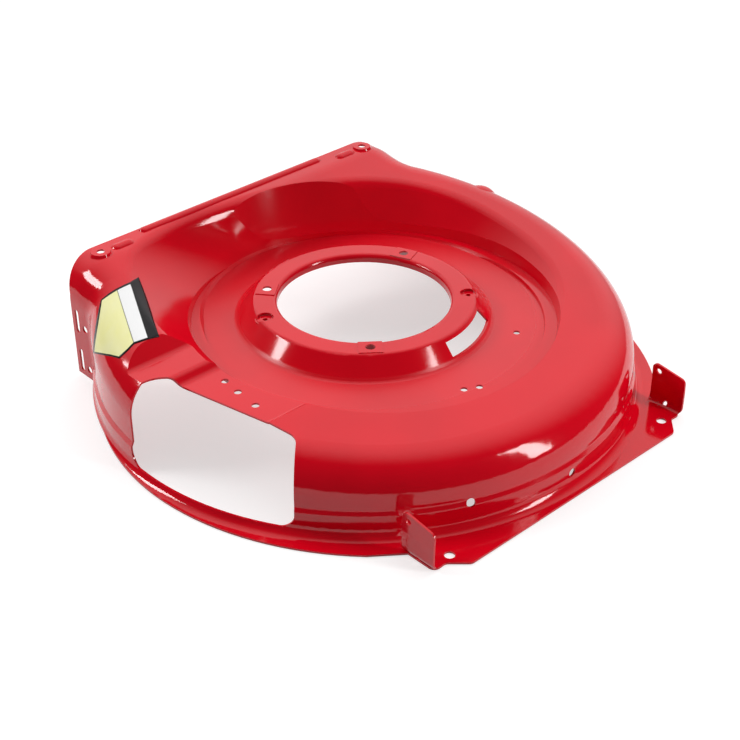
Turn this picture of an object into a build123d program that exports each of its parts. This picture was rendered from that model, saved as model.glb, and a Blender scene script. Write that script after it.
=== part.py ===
"""Lawn mower deck: one steel sheet, pressed and folded. Millimetres.

The frame: the engine axis is Z, Z = 0 is the engine seat's upper face, -Y is the mower's front
and +X the mower's left side. The pressed crown is an outer form less the same form moved in by
the sheet's thickness; the seat, the skirt and the ears are bent strips of the same thickness.
"""

import os
from math import cos, radians, sin, sqrt, tan

from build123d import *

os.makedirs("parts", exist_ok=True)

# Sheet
sheet = 2.0

# Engine seat: ring, lip, cone
bolt_circle = 101.6
bolt_hole = 5.0
bolt_angles = (22.0, 129.0, 230.5)
bore = 89.5
lip_depth = 9.0
seat_edge = 114.0
cone_foot = 133.0
seat_bend = 4.5
pad_half_width = 12.0
pad_rise = 0.8
pocket_angles = (160.0, 320.5)
pocket_radius = 8.5
pocket_depth = 3.0
pocket_from_axis = 108.0
thread_core = 2.6
belt_start = -90.0
belt_sweep = 37.0
belt_margin = 4.0

# Recess round the seat, and the bowl that rises from it
recess_depth = 21.0
recess_radius = 175.0
recess_centre = (3.0, -12.0)
recess_draft = 16.0
ring_width = 13.0
ring_rise = 3.0
bowl_radius = 168.0
bowl_shift = (9.0, 8.0)
bowl_height = 60.0
bowl_left = 264.0
bowl_rear_left = 214.0
bowl_rear = 190.0
bowl_rear_right = 268.0
bowl_right = 310.0
bowl_front = 360.0
rim_round = 16.0
foot_round = 8.0

# Crown: outer wall, rising top, shoulder
wall_radius = 280.0
top_front = -21.0
top_middle = 8.5
top_tilt = 1.0
strip_height = 42.5
strip_start = 188.0
strip_bend = 70.0
shoulder = 41.0
ledge_level = -60.0

# Rear mouth
rear_edge = 216.0
plate_edge = 202.0
plate_start = 5.0
mouth_half = 224.0
mouth_bottom = -88.0
valley = 25.0
plate_round = 10.0
strip_hole = 4.3
strip_hole_at = (183.0, 199.0)
dimple_radius = 12.0
dimple_rise = 2.2
oval_at = 156.0
oval_half = 7.0
oval_radius = 8.0
bead_half = 121.0
bead_radius = 6.5
bead_from_edge = 6.0
emboss_rise = 3.0
slot_half_width = 3.2
slot_length = 27.0
slot_levels = (-23.0, -70.0)
slot_from_edge = 8.5
side_hole = 4.2
side_hole_levels = (-28.0, -77.0)
side_hole_from_edge = 21.5

# Bump on the left shoulder
bump_at = (242.8, 65.9, -1.5)
bump_sphere = 23.0

# Flat steps beside the side window, with the hinge holes
flat_levels = (-1.0, -9.0)
flat_rear_ends = (46.0, 4.0)
flat_front_end = -100.0
flat_draft = 45.0
flat_round = 9.0
flat_inner_end = -161.0
hinge_hole = 3.9
hinge_holes = ((-196.3, -17.3), (-199.2, -40.2), (-201.4, -68.9))

# Side window
window_rear = 24.0
window_top_rear = -236.0
window_top_front = (-204.5, -130.5)
window_front_angle = 219.0
window_bottom = -83.5
window_round = 16.0
window_rear_round = 30.0
window_foot_round = 14.0

# Skirt and front flange
skirt_radius = 282.5
step_drop = 5.0
floor_level = -92.0
skirt_bend = 11.0
lip_width = 2.0
flange_radius = 291.5
flange_centre = -20.0
flange_corner = 225.0
front_edge = 296.0
front_half = 146.0
notch = (163.0, 280.0)
flange_hole = 5.0
flange_hole_at = (153.0, 275.0)
wall_hole = 4.3
wall_hole_angles = (-113.0, -89.2, -59.5)
wall_hole_levels = (-64.0, -75.0, -72.0)

# Front ears
ear_half = 180.0
ear_rear = 241.0
ear_front = 281.0
ear_top = -45.0
ear_slope = 6.0
ear_round = 6.0
ear_bend = 7.0
ear_hole = 3.0
ear_hole_drop = 9.0
ear_hole_inset = 8.0
ear_crease = -67.0
ear_lean = 1.2
relief_hole = 2.4
flange_round = 7.0

# Small holes in the recess floor
floor_hole = 3.6
floor_holes = ((87.0, -134.0), (-28.0, -170.0), (-14.0, -177.0))

# Values that follow from the sizes above
recess_level = -recess_depth
seat_join = (cone_foot + recess_radius) / 2
deep = 2 * ledge_level
tall = bowl_height + sheet
thin = sheet / 2
mirrored = (-1, 1)
tilt = Rot(0, -top_tilt, 0)
beyond = rear_edge + 4 * shoulder


def polar(radius, angle):
    """A point in the plan, from a radius and an angle in degrees."""
    return radius * cos(radians(angle)), radius * sin(radians(angle))


def plan_face(inset):
    """The crown's outline in the plan: a disc with the mouth's straight sides behind it."""
    half = mouth_half - inset
    with BuildSketch() as plan:
        Circle(wall_radius - inset)
        with Locations((0, beyond / 2)):
            Rectangle(2 * half, beyond)
        fillet(plan.vertices().filter_by(lambda v: 1 < v.Y < beyond - 1), valley + inset)
    return plan.sketch


def plain_body(inset):
    """The crown without its recess: the outline, the curved top and the rounded shoulder."""
    with BuildPart() as body:
        with BuildSketch(Plane.XY.offset(deep)):
            add(plan_face(inset))
        extrude(amount=tall - deep)
        with BuildSketch(Plane.YZ.rotated((0, -top_tilt, 0))):
            with BuildLine() as profile:
                rise = ThreePointArc(
                    (-wall_radius - shoulder, top_front - inset),
                    (0, top_middle - inset),
                    (strip_start, strip_height - inset),
                )
                Line(rise @ 1, (beyond + 1, strip_height - inset))
                fillet(profile.vertices().filter_by(lambda v: v.X == (rise @ 1).X), strip_bend)
                start = profile.vertices().sort_by(Axis.X)[0]
                end = profile.vertices().sort_by(Axis.X)[-1]
                Polyline(end, (end.X, 2 * tall), (start.X, 2 * tall), start)
            make_face()
        extrude(amount=wall_radius + shoulder, both=True, mode=Mode.SUBTRACT)
        crest = body.faces().filter_by(lambda f: f.normal_at().Z > 0.5)
        shared = [e for f in crest for e in f.edges()]
        outline = [e for e in shared if shared.count(e) == 1 and e.center().Y < beyond - 1]
        fillet(outline, shoulder - inset)
    return body.part


def bowl_tool(inset):
    """The space above the recess: a ruled funnel from the floor's circle to a wider opening."""
    reach = (bowl_left, bowl_rear_left, bowl_rear, bowl_rear_right, bowl_right) + 3 * (bowl_front,)
    opening = [polar(r + inset, i * 360 / len(reach)) for i, r in enumerate(reach)]
    with BuildPart() as bowl:
        with BuildSketch(Plane.XY.offset(recess_level - inset)):
            with Locations(bowl_shift):
                Circle(bowl_radius + inset)
        with BuildSketch(Plane.XY.offset(bowl_height)):
            with BuildLine():
                Spline(*opening, periodic=True)
            make_face()
        loft(ruled=True)
    return bowl.part


def flat_steps():
    """The space above the two flats, as corners in the side view."""
    run = tan(radians(flat_draft))
    upper, lower = flat_levels
    upper_end, lower_end = flat_rear_ends
    return [
        (upper_end + (tall - upper) * run, tall),
        (upper_end, upper),
        (lower_end + (upper - lower) * run, upper),
        (lower_end, lower),
        (flat_front_end, lower),
        (flat_front_end - (tall - lower) * run, tall),
    ]


def crown_form(inset):
    """The solid bounded by the crown's skin, moved inwards by inset."""
    low = recess_level - inset
    spread = (tall - low) * tan(radians(recess_draft))
    top = strip_height - inset
    crest = strip_height + emboss_rise
    with BuildPart() as form:
        add(plain_body(inset))
        add(bowl_tool(inset), mode=Mode.SUBTRACT)
        fillet(form.edges(Select.NEW).sort_by(Axis.Z)[-1], rim_round - inset)
        fillet(form.faces().filter_by(Plane.XY).sort_by(Axis.Z)[-2].edges(), foot_round + inset)
        for radius, level in ((recess_radius, low), (recess_radius + ring_width, low + ring_rise)):
            with Locations((*recess_centre, level)):
                Cone(
                    radius + inset,
                    radius + inset + spread,
                    tall - low,
                    align=(Align.CENTER, Align.CENTER, Align.MIN),
                    mode=Mode.SUBTRACT,
                )
        with BuildSketch(Plane.YZ.offset(flat_inner_end + inset)):
            with BuildLine():
                FilletPolyline(*flat_steps(), radius=flat_round, close=True)
            make_face()
            if inset:
                offset(amount=inset, kind=Kind.INTERSECTION)
        extrude(amount=-beyond, mode=Mode.SUBTRACT)
        with Locations(tilt * Pos(0, rear_edge - bead_from_edge, crest - bead_radius)):
            Cylinder(bead_radius - inset, 2 * bead_half, rotation=(0, 90, 0))
        for side in mirrored:
            with Locations(tilt * Pos(side * bead_half, rear_edge - bead_from_edge, crest - bead_radius)):
                Sphere(bead_radius - inset)
            with Locations(tilt * Pos(side * oval_at, strip_hole_at[1], crest - oval_radius)):
                Cylinder(oval_radius - inset, 2 * oval_half, rotation=(0, 90, 0))
                with Locations((-oval_half, 0), (oval_half, 0)):
                    Sphere(oval_radius - inset)
            with Locations(tilt * Pos(side * strip_hole_at[0], strip_hole_at[1], top)):
                Cone(dimple_radius - inset, dimple_radius - inset - dimple_rise, 2 * dimple_rise)
        with Locations(bump_at):
            Sphere(bump_sphere - inset)
    return form.part


def bent_strip(points, radii):
    """A face of the sheet's thickness below a path of straight lines with rounded bends."""
    with BuildSketch() as strip:
        with BuildLine():
            FilletPolyline(*points, radius=radii)
            offset(amount=sheet, side=Side.RIGHT)
        make_face()
    return strip.sketch


# The engine seat, turned about the engine axis
with BuildPart() as seat:
    with BuildSketch(Plane.XZ):
        add(
            bent_strip(
                [
                    (bore, -lip_depth),
                    (bore, 0),
                    (seat_edge, 0),
                    (cone_foot, recess_level),
                    (seat_join, recess_level),
                ],
                seat_bend,
            )
        )
    revolve(axis=Axis.Z)
    for angle in bolt_angles:
        with Locations(Rot(0, 0, angle) * Pos(bolt_circle, 0, pad_rise - thin)):
            Box(2 * (bolt_circle - bore - sheet), 2 * pad_half_width, sheet)
        with Locations(Rot(0, 0, angle) * Pos(bolt_circle, 0, pad_rise - sheet)):
            Box(
                2 * (bolt_circle - bore - 2 * sheet),
                2 * (pad_half_width - sheet),
                sheet,
                align=(Align.CENTER, Align.CENTER, Align.MAX),
                mode=Mode.SUBTRACT,
            )
    for angle in pocket_angles:
        with Locations(Rot(0, 0, angle) * Pos(pocket_from_axis, 0, -pocket_depth)):
            Cylinder(pocket_radius, tall, align=(Align.CENTER, Align.CENTER, Align.MIN), mode=Mode.SUBTRACT)
            Cylinder(pocket_radius + sheet, sheet, align=(Align.CENTER, Align.CENTER, Align.MAX))
            Cylinder(
                thread_core + sheet,
                3 * sheet,
                align=(Align.CENTER, Align.CENTER, Align.MAX),
            )

# The skirt below the crown's step, with the front flange
flange_top = floor_level + sheet
with BuildPart() as skirt:
    with BuildSketch(Plane.XZ):
        add(
            bent_strip(
                [
                    (wall_radius, ledge_level),
                    (wall_radius, ledge_level - thin),
                    (skirt_radius, ledge_level - thin - step_drop),
                    (skirt_radius, flange_top),
                    (front_edge + shoulder, flange_top),
                ],
                (sheet + thin, sheet + thin, skirt_bend),
            )
        )
    revolve(axis=Axis.Z)
    corner_half = sqrt(flange_radius**2 - (flange_corner + flange_centre) ** 2)
    outline = [(corner_half, -flange_corner), (ear_half - sheet, -ear_rear - flange_round)]
    outline += [(ear_half - sheet, -ear_front), (notch[0], -notch[1]), (front_half, -front_edge)]
    with BuildSketch(Plane.XY.offset(floor_level)) as trim:
        with Locations((0, flange_centre)):
            Circle(flange_radius)
        with Locations((0, -flange_corner)):
            Rectangle(2 * flange_radius, flange_radius, align=(Align.CENTER, Align.MAX), mode=Mode.SUBTRACT)
        Circle(skirt_radius + lip_width)
        with BuildLine():
            Polyline(*outline, *[(-x, y) for x, y in reversed(outline)], close=True)
        make_face()
        fillet(trim.vertices().filter_by(lambda v: v.Y <= -notch[1] or v.Y == -flange_corner), flange_round)
    extrude(amount=-deep, mode=Mode.INTERSECT)
    with BuildSketch(Plane.XY.offset(deep)):
        add(plan_face(sheet))
    extrude(amount=-deep, mode=Mode.SUBTRACT)

# The ears, folded up from the flange's ends
with BuildPart() as ears:
    with BuildSketch(Plane.XZ.offset(ear_rear)):
        add(
            bent_strip(
                [
                    (ear_half - sheet - 2 * ear_bend, flange_top),
                    (ear_half - sheet, flange_top),
                    (ear_half - sheet, ear_crease),
                    (ear_half - sheet - ear_lean, ear_top),
                ],
                (ear_bend, ear_bend),
            )
        )
    extrude(amount=ear_front - ear_rear)
    with BuildSketch(Plane.YZ) as ear_side:
        with BuildLine():
            Polyline(
                (-ear_front, floor_level),
                (-ear_front, ear_top - ear_slope),
                (-ear_rear, ear_top),
                (-ear_rear, floor_level),
                close=True,
            )
        make_face()
        fillet(ear_side.vertices().filter_by(lambda v: v.Z > ear_crease), ear_round)
        with Locations((-ear_rear - ear_hole_inset, ear_top - ear_hole_drop)):
            Circle(ear_hole, mode=Mode.SUBTRACT)
    extrude(amount=2 * ear_half, mode=Mode.INTERSECT)
    with Locations((ear_half - ear_bend / 2, -(ear_rear + ear_front) / 2, flange_top + ear_bend / 2)):
        Cylinder(relief_hole, 6 * sheet, rotation=(0, -45, 0), mode=Mode.SUBTRACT)
    mirror(about=Plane.YZ)

# Every hole and window, cut in one go
with BuildPart() as cuts:
    for angle in bolt_angles:
        with Locations(Rot(0, 0, angle) * Pos(bolt_circle, 0, 0)):
            Cylinder(bolt_hole, 4 * sheet)
    for angle in pocket_angles:
        with Locations(Rot(0, 0, angle) * Pos(pocket_from_axis, 0, -pocket_depth)):
            Cylinder(thread_core, 10 * sheet)
    with Locations([(x, y, recess_level) for x, y in floor_holes]):
        Cylinder(floor_hole, 10 * sheet)
    with Locations([(x, y, flat_levels[-1]) for x, y in hinge_holes]):
        Cylinder(hinge_hole, 10 * sheet)
    for side in mirrored:
        with Locations(tilt * Pos(side * strip_hole_at[0], strip_hole_at[1], strip_height)):
            Cylinder(strip_hole, 10 * sheet)
        with Locations((side * flange_hole_at[0], -flange_hole_at[1], flange_top)):
            Cylinder(flange_hole, 4 * sheet)
        for level in slot_levels:
            with BuildSketch(Plane.YZ.offset(side * mouth_half)):
                with Locations((plate_edge - slot_from_edge, level)):
                    SlotOverall(slot_length, 2 * slot_half_width, rotation=90)
            extrude(amount=4 * sheet, both=True)
        with Locations([(side * mouth_half, plate_edge - side_hole_from_edge, z) for z in side_hole_levels]):
            Cylinder(side_hole, 8 * sheet, rotation=(0, 90, 0))
    for angle, level in zip(wall_hole_angles, wall_hole_levels):
        with Locations(Rot(0, 0, angle) * Pos(wall_radius, 0, level)):
            Cylinder(wall_hole, 10 * sheet, rotation=(0, 90, 0))
    # The belt window in the seat's cone
    across = (*polar(1, belt_start), 0)
    with BuildSketch(Plane((0, 0, 0), x_dir=across, z_dir=(*polar(1, belt_start - 90), 0))):
        with BuildLine():
            Polyline(
                (seat_edge - seat_bend, -belt_margin),
                (seat_edge + 2 * seat_bend, -belt_margin),
                (cone_foot + seat_bend, recess_level + belt_margin),
                (seat_edge - seat_bend, recess_level + belt_margin),
                close=True,
            )
        make_face()
    revolve(axis=Axis.Z, revolution_arc=belt_sweep)

# The side window's tool, with rounded corners
with BuildPart() as window:
    far = polar(2 * wall_radius, window_front_angle)
    with BuildSketch(Plane.XY.offset(window_bottom)) as opening:
        with BuildLine():
            Polyline(
                (window_top_rear, window_rear),
                window_top_front,
                far,
                (far[0], window_rear),
                close=True,
            )
        make_face()
        fillet(opening.vertices().sort_by(Axis.X)[-1], window_round)
        fillet(opening.vertices().sort_by(Axis.Y)[-1], window_rear_round)
    extrude(amount=tall - window_bottom)
    foot = window.edges().group_by(Axis.Z)[0].sort_by(Axis.Y)
    fillet([foot[0], foot[-1]], window_foot_round)

with BuildPart() as deck_shell:
    add(crown_form(0))
    add(crown_form(sheet), mode=Mode.SUBTRACT)
    with BuildSketch(Plane.YZ) as plate:
        with BuildLine():
            Polyline(
                (plate_edge, mouth_bottom),
                (plate_edge, plate_start),
                (rear_edge, strip_height - 2 * sheet),
                (rear_edge, 2 * tall),
                (-beyond, 2 * tall),
                (-beyond, mouth_bottom),
                close=True,
            )
        make_face()
        fillet(plate.vertices().group_by(Axis.Z)[0].sort_by(Axis.Y)[-1], plate_round)
    extrude(amount=beyond, both=True, mode=Mode.INTERSECT)
    with Locations((0, 0, ledge_level)):
        Cylinder(
            skirt_radius - thin,
            -deep,
            align=(Align.CENTER, Align.CENTER, Align.MAX),
            mode=Mode.SUBTRACT,
        )
    Cylinder(seat_join, 2 * tall, mode=Mode.SUBTRACT)
    add([seat.part, skirt.part, ears.part])
    add([cuts.part, window.part], mode=Mode.SUBTRACT)
deck_shell.part.label = "deck_shell"
export_step(deck_shell.part, "parts/deck_shell.step")
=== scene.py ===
"""Looks of the lawn mower deck, laid out as a Blender add-on. Metres, in the part's own frame."""

import math

import bmesh
import bpy
from bpy.props import FloatProperty, FloatVectorProperty, PointerProperty
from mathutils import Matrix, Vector
from mathutils.bvhtree import BVHTree


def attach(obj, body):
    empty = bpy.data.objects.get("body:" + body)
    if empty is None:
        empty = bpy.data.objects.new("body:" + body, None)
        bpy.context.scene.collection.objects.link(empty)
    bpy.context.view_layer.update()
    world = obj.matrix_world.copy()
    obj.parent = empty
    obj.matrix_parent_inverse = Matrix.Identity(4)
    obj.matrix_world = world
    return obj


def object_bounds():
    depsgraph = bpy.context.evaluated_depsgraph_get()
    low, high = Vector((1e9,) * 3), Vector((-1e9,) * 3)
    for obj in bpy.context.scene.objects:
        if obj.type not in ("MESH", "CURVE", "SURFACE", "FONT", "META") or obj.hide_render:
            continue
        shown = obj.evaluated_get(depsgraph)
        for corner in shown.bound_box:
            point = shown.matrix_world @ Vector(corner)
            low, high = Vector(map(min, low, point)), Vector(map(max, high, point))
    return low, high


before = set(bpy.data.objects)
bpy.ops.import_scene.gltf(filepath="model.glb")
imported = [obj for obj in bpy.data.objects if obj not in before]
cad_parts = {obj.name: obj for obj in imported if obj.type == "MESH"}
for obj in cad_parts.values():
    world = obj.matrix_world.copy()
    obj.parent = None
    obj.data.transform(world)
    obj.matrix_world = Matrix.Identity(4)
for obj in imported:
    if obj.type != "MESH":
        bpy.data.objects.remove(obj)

bl_info = {
    "name": "Lawn mower deck",
    "version": (1, 0, 0),
    "blender": (4, 5, 0),
    "location": "3D View > Sidebar > Deck",
    "description": "Paints the pressed deck, lays its blank sticker and sets up the studio",
    "category": "Object",
}

SHELL = "deck_shell"
BODY = "root"
CAD_BOX = [list(corner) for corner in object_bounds()]

# Rows of stops (share, x, y, z in millimetres) across the sticker's two ends, from its dark band down.
REAR_END = (
    (0, -172.3, 151, 26.2), (0.2, -188.4, 143, 29.4), (0.45, -203.5, 144.3, 27.6),
    (0.7, -211.5, 147.3, 23.8), (1, -219, 150.7, 18),
)
FRONT_END = (
    (0, -213.9, 59.9, 12.9), (0.2, -226.1, 61.6, 14.3), (0.45, -239.7, 65.4, 13.1), (0.6, -249, 64.1, 9.5),
    (0.75, -257.1, 66.6, 3.8), (0.83, -258.3, 78.6, 1.1), (1, -252.3, 120.9, -16.7),
)
# The side that the film is laid on from.
OUTWARD = Vector((-0.577, -0.614, 0.539))


class Wire:
    """A shader socket that takes part in Python expressions: each operation adds a Math node."""

    def __init__(self, tree, socket=None):
        self.tree = tree
        self.socket = socket

    def node(self, kind, settings=None, inputs=None, output=0):
        """Adds a node, makes its settings, then fills or links its sockets, and gives one output."""
        made = self.tree.nodes.new(kind)
        for name, value in (settings or {}).items():
            setattr(made, name, value)
        for name, value in (inputs or {}).items():
            if isinstance(value, Wire):
                self.tree.links.new(value.socket, made.inputs[name])
            else:
                made.inputs[name].default_value = value
        return Wire(self.tree, made.outputs[output] if made.outputs else None)

    def math(self, operation, first, second):
        return self.node("ShaderNodeMath", {"operation": operation}, {0: first, 1: second})

    def __add__(self, other):
        return self.math("ADD", self, other)

    def __sub__(self, other):
        return self.math("SUBTRACT", self, other)

    def __mul__(self, other):
        return self.math("MULTIPLY", self, other)

    def __rsub__(self, other):
        return self.math("SUBTRACT", other, self)

    __radd__ = __add__
    __rmul__ = __mul__


def colour(name, description, default):
    """A colour that a user can change."""
    return FloatVectorProperty(
        name=name, description=description, default=default, subtype="COLOR", size=4, min=0, max=1
    )


def length(name, description, default):
    """A length that a user can change."""
    return FloatProperty(name=name, description=description, default=default, unit="LENGTH", precision=4)


class DeckPaint(bpy.types.PropertyGroup):
    """The paint on the pressed sheet."""

    red: colour("Red", "Colour of the enamel where it is thick", (0.72, 0.0012, 0.012, 1))
    deep_red: colour("Deep red", "Colour where the enamel has pooled", (0.64, 0.0008, 0.010, 1))
    gloss: FloatProperty(name="Roughness", description="Roughness of the enamel", default=0.07)
    floor_level: length("Recess floor", "Height of the flat floor round the engine seat", -0.021)
    floor_radius: length("Recess radius", "Reach of the duller floor round the engine seat", 0.176)


class DeckSticker(bpy.types.PropertyGroup):
    """The blank sticker on the right shoulder."""

    dark: colour("Dark field", "Colour of the border and the upper band", (0.012, 0.011, 0.012, 1))
    white: colour("White field", "Colour of the middle band", (0.88, 0.88, 0.88, 1))
    yellow: colour("Yellow field", "Colour of the lower field", (0.88, 0.85, 0.30, 1))
    thickness: length("Thickness", "Thickness of the film", 0.00025)


class DeckStage(bpy.types.PropertyGroup):
    """Camera, lamps and floor."""

    azimuth: FloatProperty(
        name="Azimuth", description="Direction of view", default=math.radians(-43.2), subtype="ANGLE"
    )
    elevation: FloatProperty(
        name="Elevation", description="Height of the view", default=math.radians(32.6), subtype="ANGLE"
    )
    distance: length("Distance", "From the camera to the plane of its aim", 1.4935)
    aim_right: length("Aim to the right", "Aim's place beside the engine axis", 0.0062)
    aim_down: length("Aim down", "Aim's place below the engine seat", 0.0764)
    lens: FloatProperty(name="Lens", description="Focal length on a 36 mm sensor", default=70.54)
    floor_colour: colour("Floor", "Colour of the floor", (0.5, 0.5, 0.5, 1))
    floor_glow: FloatProperty(name="Floor glow", description="Light from under the pale floor", default=0.58)
    front_lamp: FloatProperty(
        name="Front lamp", description="Tall lamp on the right of the view", default=22, unit="POWER"
    )
    rear_lamp: FloatProperty(
        name="Rear lamp", description="Lamp on the far left of the view", default=18, unit="POWER"
    )
    tent: FloatProperty(name="Tent", description="Brightness of the white tent behind the deck", default=1.0)
    room: FloatProperty(name="Room", description="Brightness of the room in front of it", default=0.05)


def new_material(name):
    """An empty node material and the wire that its nodes start from."""
    material = bpy.data.materials.new(name)
    material.use_nodes = True
    material.node_tree.nodes.clear()
    return material, Wire(material.node_tree)


def noise(start, place, scale, detail=2.0, roughness=0.5):
    """A grey noise with this many features per metre."""
    return start.node(
        "ShaderNodeTexNoise",
        {"noise_dimensions": "3D"},
        {"Vector": place, "Scale": scale, "Detail": detail, "Roughness": roughness},
        "Fac",
    )


def ramp(start, value, low, high):
    """0 below low, 1 above high, smooth between."""
    return start.node(
        "ShaderNodeMapRange",
        {"interpolation_type": "SMOOTHSTEP"},
        {"Value": value, "From Min": low, "From Max": high},
        "Result",
    )


def mix(start, factor, first, second):
    """A blend of two colours."""
    return start.node(
        "ShaderNodeMix", {"data_type": "RGBA"}, {0: factor, 6: first, 7: second}, 2
    )


def paint_material(look):
    """Glossy red enamel: slow tone changes, orange peel, and a duller floor in the recess."""
    material, start = new_material("deck_paint")
    place = start.node("ShaderNodeTexCoord", output="Object")
    height = start.node("ShaderNodeSeparateXYZ", inputs={"Vector": place}, output="Z")
    plan = start.node("ShaderNodeVectorMath", {"operation": "MULTIPLY"}, {0: place, 1: (1, 1, 0)})
    away = start.node("ShaderNodeVectorMath", {"operation": "LENGTH"}, {0: plan}, "Value")
    cloud = noise(start, place, 7.0, 3.0)
    peel = noise(start, place, 420.0, 1.5)
    draw = noise(start, place, 16.0, 2.0)
    grain = noise(start, place, 1500.0, 2.0)
    floor = 1 - ramp(start, height, look.floor_level + 0.003, look.floor_level + 0.005)
    floor = floor * ramp(start, height, look.floor_level - 0.0012, look.floor_level - 0.0006)
    floor = floor * (1 - ramp(start, away, look.floor_radius, look.floor_radius + 0.006))
    base = mix(start, ramp(start, cloud, 0.35, 0.7), tuple(look.red), tuple(look.deep_red))
    roughness = look.gloss + cloud * 0.05 + floor * (0.16 + grain * 0.12)
    bumps = peel * 0.000008 + draw * 0.00012 + grain * floor * 0.00001
    normal = start.node("ShaderNodeBump", inputs={"Height": bumps, "Distance": 1.0}, output="Normal")
    shader = start.node(
        "ShaderNodeBsdfPrincipled",
        inputs={"Base Color": base, "Roughness": roughness, "IOR": 1.5, "Normal": normal},
        output="BSDF",
    )
    start.node("ShaderNodeOutputMaterial", inputs={"Surface": shader})
    return material


class DECK_OT_paint_shell(bpy.types.Operator):
    """Paint the pressed sheet."""

    bl_idname = "deck.paint_shell"
    bl_label = "Paint the shell"

    def execute(self, context):
        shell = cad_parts[SHELL]
        shell.data.materials.clear()
        shell.data.materials.append(paint_material(context.scene.deck_paint))
        return {"FINISHED"}


def along(stops, share):
    """The point at this share of the way along a row of (share, x, y, z) stops in millimetres."""
    for first, second in zip(stops, stops[1:]):
        if share <= second[0]:
            part = (share - first[0]) / (second[0] - first[0])
            return Vector(first[1:]).lerp(Vector(second[1:]), part) / 1000
    return Vector(stops[-1][1:]) / 1000


def sticker_mesh(shell, across=40, down=48):
    """A film laid on the shell between its two ends, with its own flat coordinates as UVs."""
    tree = BVHTree.FromObject(shell, bpy.context.evaluated_depsgraph_get())
    work = bmesh.new()
    rows = []
    for row in range(down + 1):
        line = []
        for column in range(across + 1):
            share = column / across
            point = along(REAR_END, share).lerp(along(FRONT_END, share), row / down)
            hit, normal, _, _ = tree.ray_cast(point + OUTWARD * 0.06, -OUTWARD)
            if hit is None:
                raise RuntimeError("The sticker has no sheet under it")
            line.append(work.verts.new(hit + normal * 0.00008))
        rows.append(line)
    uv = work.loops.layers.uv.new("film")
    for row in range(down):
        for column in range(across):
            spots = ((row, column), (row, column + 1), (row + 1, column + 1), (row + 1, column))
            face = work.faces.new([rows[r][c] for r, c in spots])
            face.smooth = True
            for loop, (r, c) in zip(face.loops, spots):
                loop[uv].uv = (c / across, r / down)
    bmesh.ops.recalc_face_normals(work, faces=work.faces)
    if sum(face.normal.dot(OUTWARD) for face in work.faces) < 0:
        bmesh.ops.reverse_faces(work, faces=work.faces)
    mesh = bpy.data.meshes.new("blank_sticker")
    work.to_mesh(mesh)
    work.free()
    return mesh


def sticker_material(look):
    """Printed film with three plain fields, thin rules between them and a dark border."""
    material, start = new_material("sticker_film")
    film = start.node("ShaderNodeUVMap", {"uv_map": "film"})
    place = start.node("ShaderNodeTexCoord", output="Object")
    u = start.node("ShaderNodeSeparateXYZ", inputs={"Vector": film}, output="X")
    v = start.node("ShaderNodeSeparateXYZ", inputs={"Vector": film}, output="Y")
    speck = noise(start, place, 900.0, 2.0)
    cloud = noise(start, place, 40.0, 2.0)
    white = mix(start, ramp(start, u, 0.197, 0.203), tuple(look.dark), tuple(look.white))
    pale = mix(start, cloud, tuple(look.yellow), (0.9, 0.88, 0.55, 1))
    field = mix(start, ramp(start, u, 0.447, 0.453), white, pale)
    rules = start.node("ShaderNodeMath", {"operation": "ABSOLUTE"}, {0: u - 0.45})
    rules = 1 - ramp(start, rules, 0.006, 0.011)
    field = mix(start, rules * 0.7, field, tuple(look.dark))
    inside = ramp(start, u, 0.012, 0.016) * (1 - ramp(start, u - v * 0.045, 0.938, 0.944))
    inside = inside * ramp(start, v, 0.030, 0.037) * (1 - ramp(start, v, 0.966, 0.973))
    field = mix(start, inside, tuple(look.dark), field)
    ripple = cloud * 0.00006 + speck * 0.000002
    normal = start.node("ShaderNodeBump", inputs={"Height": ripple, "Distance": 1.0}, output="Normal")
    shader = start.node(
        "ShaderNodeBsdfPrincipled",
        inputs={
            "Base Color": field,
            "Roughness": 0.2 + speck * 0.1,
            "Specular IOR Level": 0.18,
            "Normal": normal,
        },
        output="BSDF",
    )
    start.node("ShaderNodeOutputMaterial", inputs={"Surface": shader})
    return material


class DECK_OT_lay_sticker(bpy.types.Operator):
    """Lay the blank sticker over the right shoulder."""

    bl_idname = "deck.lay_sticker"
    bl_label = "Lay the sticker"

    def execute(self, context):
        look = context.scene.deck_sticker
        sticker = bpy.data.objects.new("blank_sticker", sticker_mesh(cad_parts[SHELL]))
        context.scene.collection.objects.link(sticker)
        film = sticker.modifiers.new("film", "SOLIDIFY")
        film.thickness = look.thickness
        film.offset = 1
        sticker.data.materials.append(sticker_material(look))
        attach(sticker, BODY)
        return {"FINISHED"}


def view_axes(stage):
    """Forward, right and up directions of the camera."""
    flat = Vector((-math.sin(stage.azimuth), math.cos(stage.azimuth), 0))
    forward = flat * math.cos(stage.elevation) - Vector((0, 0, math.sin(stage.elevation)))
    right = forward.cross(Vector((0, 0, 1))).normalized()
    return forward, right, right.cross(forward)


def add_camera(stage):
    """The camera at the photograph's viewing angle."""
    forward, right, up = view_axes(stage)
    data = bpy.data.cameras.new("deck_camera")
    data.lens = stage.lens
    data.sensor_width = 36.0
    camera = bpy.data.objects.new("deck_camera", data)
    camera.location = right * stage.aim_right - up * stage.aim_down - forward * stage.distance
    camera.rotation_euler = forward.to_track_quat("-Z", "Y").to_euler()
    bpy.context.scene.collection.objects.link(camera)
    bpy.context.scene.camera = camera


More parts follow.
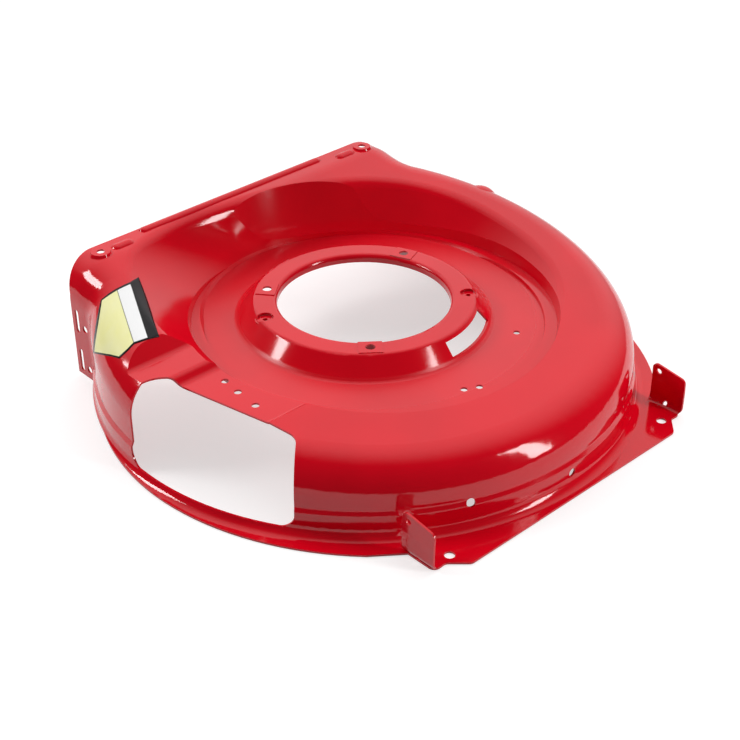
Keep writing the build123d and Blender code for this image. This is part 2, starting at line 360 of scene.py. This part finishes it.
def softbox(name, azimuth, elevation, distance, width, height, power):
    """A rectangular lamp that faces the engine seat. Azimuth 0 is in front, 90 on the mower's left."""
    turn, rise = math.radians(azimuth), math.radians(elevation)
    flat = Vector((math.sin(turn), -math.cos(turn), 0)) * math.cos(rise)
    place = (flat + Vector((0, 0, math.sin(rise)))) * distance
    data = bpy.data.lights.new(name, "AREA")
    data.shape = "RECTANGLE"
    data.size = width
    data.size_y = height
    data.energy = power
    lamp = bpy.data.objects.new(name, data)
    lamp.location = place
    lamp.rotation_euler = (-place).to_track_quat("-Z", "Y").to_euler()
    bpy.context.scene.collection.objects.link(lamp)


def seen_rays(start):
    """1 for camera, mirror and see-through rays, 0 for soft light."""
    kinds = ("Camera", "Glossy", "Transmission")
    total = sum(start.node("ShaderNodeLightPath", output=f"Is {kind} Ray") for kind in kinds)
    return start.node("ShaderNodeMath", {"operation": "MINIMUM"}, {0: total, 1: 1.0})


def add_floor(stage):
    """A pale floor that looks white where no shadow falls, and is clear from below."""
    bpy.ops.mesh.primitive_plane_add(size=3.6, location=(0, 0, CAD_BOX[0][2] - 0.0003))
    floor = bpy.context.active_object
    floor.name = "studio_floor"
    material, start = new_material("studio_floor")
    matte = start.node("ShaderNodeBsdfDiffuse", inputs={"Color": tuple(stage.floor_colour)})
    glow = start.node("ShaderNodeEmission", inputs={"Strength": seen_rays(start) * stage.floor_glow})
    both = start.node("ShaderNodeAddShader", inputs={0: matte, 1: glow})
    below = start.node("ShaderNodeNewGeometry", output="Backfacing")
    clear = start.node("ShaderNodeBsdfTransparent")
    both = start.node("ShaderNodeMixShader", inputs={0: below, 1: both, 2: clear})
    start.node("ShaderNodeOutputMaterial", inputs={"Surface": both})
    floor.data.materials.append(material)


def add_world(stage):
    """White to the camera. As light, a white tent behind and above the deck and a dim room in front."""
    world = bpy.data.worlds.new("studio")
    world.use_nodes = True
    world.node_tree.nodes.clear()
    start = Wire(world.node_tree)
    forward = view_axes(stage)[0]
    flat = Vector((forward.x, forward.y, 0)).normalized()
    tent_middle = flat * math.cos(math.radians(42)) + Vector((0, 0, math.sin(math.radians(42))))
    way = start.node("ShaderNodeTexCoord", output="Generated")
    facing = start.node(
        "ShaderNodeVectorMath", {"operation": "DOT_PRODUCT"}, {0: way, 1: tent_middle}, "Value"
    )
    light = stage.room + ramp(start, facing, 0.35, 0.95) * (stage.tent - stage.room)
    light = light * (1 + start.node("ShaderNodeLightPath", output="Is Diffuse Ray") * 1.0)
    ray = start.node("ShaderNodeLightPath", output="Is Camera Ray")
    strength = light + ray * (1 - light)
    shade = start.node("ShaderNodeBackground", inputs={"Color": (1, 1, 1, 1), "Strength": strength})
    start.node("ShaderNodeOutputWorld", inputs={"Surface": shade})
    bpy.context.scene.world = world


class DECK_OT_set_stage(bpy.types.Operator):
    """Set up the floor, the lamps and the camera."""

    bl_idname = "deck.set_stage"
    bl_label = "Set the stage"

    def execute(self, context):
        stage = context.scene.deck_stage
        add_floor(stage)
        add_world(stage)
        add_camera(stage)
        softbox("front_lamp", 24, 22, 2.2, 0.34, 1.3, stage.front_lamp)
        softbox("rear_lamp", -136, 35, 2.2, 0.7, 0.5, stage.rear_lamp)
        context.scene.view_settings.view_transform = "Standard"
        return {"FINISHED"}


class DECK_PT_panel(bpy.types.Panel):
    """The deck's pieces and sizes."""

    bl_label = "Lawn mower deck"
    bl_idname = "DECK_PT_panel"
    bl_space_type = "VIEW_3D"
    bl_region_type = "UI"
    bl_category = "Deck"

    def draw(self, context):
        for operator in OPERATORS:
            self.layout.operator(operator.bl_idname)
        for group in (context.scene.deck_paint, context.scene.deck_sticker, context.scene.deck_stage):
            for name in group.__annotations__:
                self.layout.prop(group, name)


OPERATORS = (DECK_OT_paint_shell, DECK_OT_lay_sticker, DECK_OT_set_stage)
CLASSES = (DeckPaint, DeckSticker, DeckStage, *OPERATORS, DECK_PT_panel)


def register():
    for item in CLASSES:
        bpy.utils.register_class(item)
    bpy.types.Scene.deck_paint = PointerProperty(type=DeckPaint)
    bpy.types.Scene.deck_sticker = PointerProperty(type=DeckSticker)
    bpy.types.Scene.deck_stage = PointerProperty(type=DeckStage)


def unregister():
    del bpy.types.Scene.deck_stage
    del bpy.types.Scene.deck_sticker
    del bpy.types.Scene.deck_paint
    for item in reversed(CLASSES):
        bpy.utils.unregister_class(item)


def main():
    register()
    bpy.ops.deck.paint_shell()
    bpy.ops.deck.lay_sticker()
    bpy.ops.deck.set_stage()


if __name__ == "__main__":
    main()
